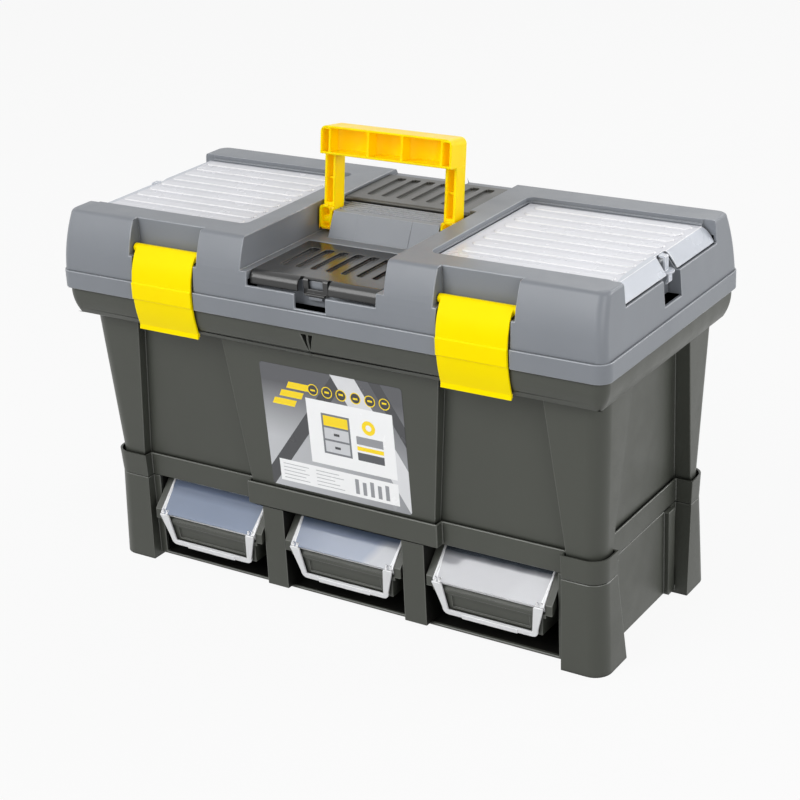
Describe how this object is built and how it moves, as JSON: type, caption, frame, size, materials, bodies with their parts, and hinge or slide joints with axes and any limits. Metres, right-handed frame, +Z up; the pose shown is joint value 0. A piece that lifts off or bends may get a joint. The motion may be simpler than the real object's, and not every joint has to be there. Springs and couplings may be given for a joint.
{
  "type": "portable tool box with drawers",
  "caption": "Moulded plastic tool box: deep body on a drawer base with clear-fronted drawers, domed lid with clear organizers, folding handle and snap latches.",
  "frame": {"origin": "centre of the object's box on the floor, under the feet", "axes": "+X along the length to the right, -Y to the front with the latches and drawers, +Z up"},
  "size_m": [0.562, 0.2688, 0.425],
  "materials": {
    "dark_body": "moulded polypropylene, fine satin grain",
    "grey_lid": "moulded polypropylene, satin",
    "yellow": "moulded, semi gloss",
    "clear": "milky clear polypropylene",
    "black_cover": "moulded, satin",
    "dark_cover": "moulded, satin",
    "tray": "moulded, satin",
    "steel": "drawn wire"
  },
  "bodies": {
    "case": {"drawer_base": "dark_body", "drawer_deck": "dark_body", "main_body": "dark_body", "lid_hinge_rods": "steel"},
    "lid_body": {"lid": "grey_lid", "organizer_hinge_rods": "steel", "compartment_hinge_rods": "steel", "handle_pins": "steel", "latch_rods": "steel", "organizer_dividers_left": "grey_lid", "organizer_dividers_right": "grey_lid"},
    "handle_body": {"handle": "yellow"},
    "latch_left_body": {"latch_left": "yellow"},
    "latch_right_body": {"latch_right": "yellow"},
    "organizer_left_body": {"organizer_cover_left": "clear"},
    "organizer_right_body": {"organizer_cover_right": "clear"},
    "organizer_tab_left_body": {"organizer_tab_left": "clear"},
    "organizer_tab_right_body": {"organizer_tab_right": "clear"},
    "front_cover_body": {"front_compartment_cover": "black_cover"},
    "rear_cover_body": {"rear_compartment_cover": "dark_cover"},
    "tray_body": {"inner_tray": "tray", "tray_dividers": "tray"},
    "tray_handle_body": {"tray_handle": "yellow"},
    "drawer_1_body": {"drawer_bin_1": "dark_body", "drawer_cover_1": "clear"},
    "clasp_1_body": {"drawer_clasp_1": "clear"},
    "drawer_2_body": {"drawer_bin_2": "dark_body", "drawer_cover_2": "clear"},
    "clasp_2_body": {"drawer_clasp_2": "clear"},
    "drawer_3_body": {"drawer_bin_3": "dark_body", "drawer_cover_3": "clear"},
    "clasp_3_body": {"drawer_clasp_3": "clear"}
  },
  "joints": [
    {"name": "lid_hinge", "type": "hinge", "parent": "case", "child": "lid_body", "pos_m": [0, 0.13, 0.2813], "axis": [-1, 0, 0], "range_deg": [0, 105]},
    {"name": "handle_fold", "type": "hinge", "parent": "lid_body", "child": "handle_body", "pos_m": [0, 0, 0.3375], "axis": [-1, 0, 0], "range_deg": [-95, 0]},
    {"name": "latch_left_swing", "type": "hinge", "parent": "lid_body", "child": "latch_left_body", "pos_m": [-0.16, -0.118, 0.328], "axis": [-1, 0, 0], "range_deg": [0, 120]},
    {"name": "organizer_left_hinge", "type": "hinge", "parent": "lid_body", "child": "organizer_left_body", "pos_m": [-0.1005, 0, 0.3465], "axis": [0, 1, 0], "range_deg": [0, 95]},
    {"name": "organizer_left_snap", "type": "hinge", "parent": "organizer_left_body", "child": "organizer_tab_left_body", "pos_m": [-0.2646, 0, 0.34815], "axis": [0, 1, 0], "range_deg": [0, 12], "stiffness_Nm_per_rad": 0.05},
    {"name": "latch_right_swing", "type": "hinge", "parent": "lid_body", "child": "latch_right_body", "pos_m": [0.16, -0.118, 0.328], "axis": [-1, 0, 0], "range_deg": [0, 120]},
    {"name": "organizer_right_hinge", "type": "hinge", "parent": "lid_body", "child": "organizer_right_body", "pos_m": [0.1005, 0, 0.3465], "axis": [0, -1, 0], "range_deg": [0, 95]},
    {"name": "organizer_right_snap", "type": "hinge", "parent": "organizer_right_body", "child": "organizer_tab_right_body", "pos_m": [0.2646, 0, 0.34815], "axis": [0, -1, 0], "range_deg": [0, 12], "stiffness_Nm_per_rad": 0.05},
    {"name": "front_cover_hinge", "type": "hinge", "parent": "lid_body", "child": "front_cover_body", "pos_m": [0, -0.0335, 0.3238], "axis": [-1, 0, 0], "range_deg": [0, 95]},
    {"name": "rear_cover_hinge", "type": "hinge", "parent": "lid_body", "child": "rear_cover_body", "pos_m": [0, 0.03, 0.3488], "axis": [1, 0, 0], "range_deg": [0, 85]},
    {"name": "drawer_1_slide", "type": "slide", "parent": "case", "child": "drawer_1_body", "axis": [0, -1, 0], "range_m": [-0.004, 0.146]},
    {"name": "clasp_1_fold", "type": "hinge", "parent": "drawer_1_body", "child": "clasp_1_body", "pos_m": [-0.15207, -0.1109, 0.054], "axis": [-1, 0, 0], "range_deg": [0, 110]},
    {"name": "drawer_2_slide", "type": "slide", "parent": "case", "child": "drawer_2_body", "axis": [0, -1, 0], "range_m": [-0.002, 0.148]},
    {"name": "clasp_2_fold", "type": "hinge", "parent": "drawer_2_body", "child": "clasp_2_body", "pos_m": [0, -0.1089, 0.054], "axis": [-1, 0, 0], "range_deg": [0, 110]},
    {"name": "drawer_3_slide", "type": "slide", "parent": "case", "child": "drawer_3_body", "axis": [0, -1, 0], "range_m": [0, 0.15]},
    {"name": "clasp_3_fold", "type": "hinge", "parent": "drawer_3_body", "child": "clasp_3_body", "pos_m": [0.15207, -0.1069, 0.054], "axis": [-1, 0, 0], "range_deg": [0, 110]},
    {"name": "tray_lift", "type": "slide", "parent": "case", "child": "tray_body", "axis": [0, 0, 1], "range_m": [0, 0.025]},
    {"name": "tray_handle_swing", "type": "hinge", "parent": "tray_body", "child": "tray_handle_body", "pos_m": [0, 0, 0.2663], "axis": [1, 0, 0], "range_deg": [0, 90]}
  ]
}
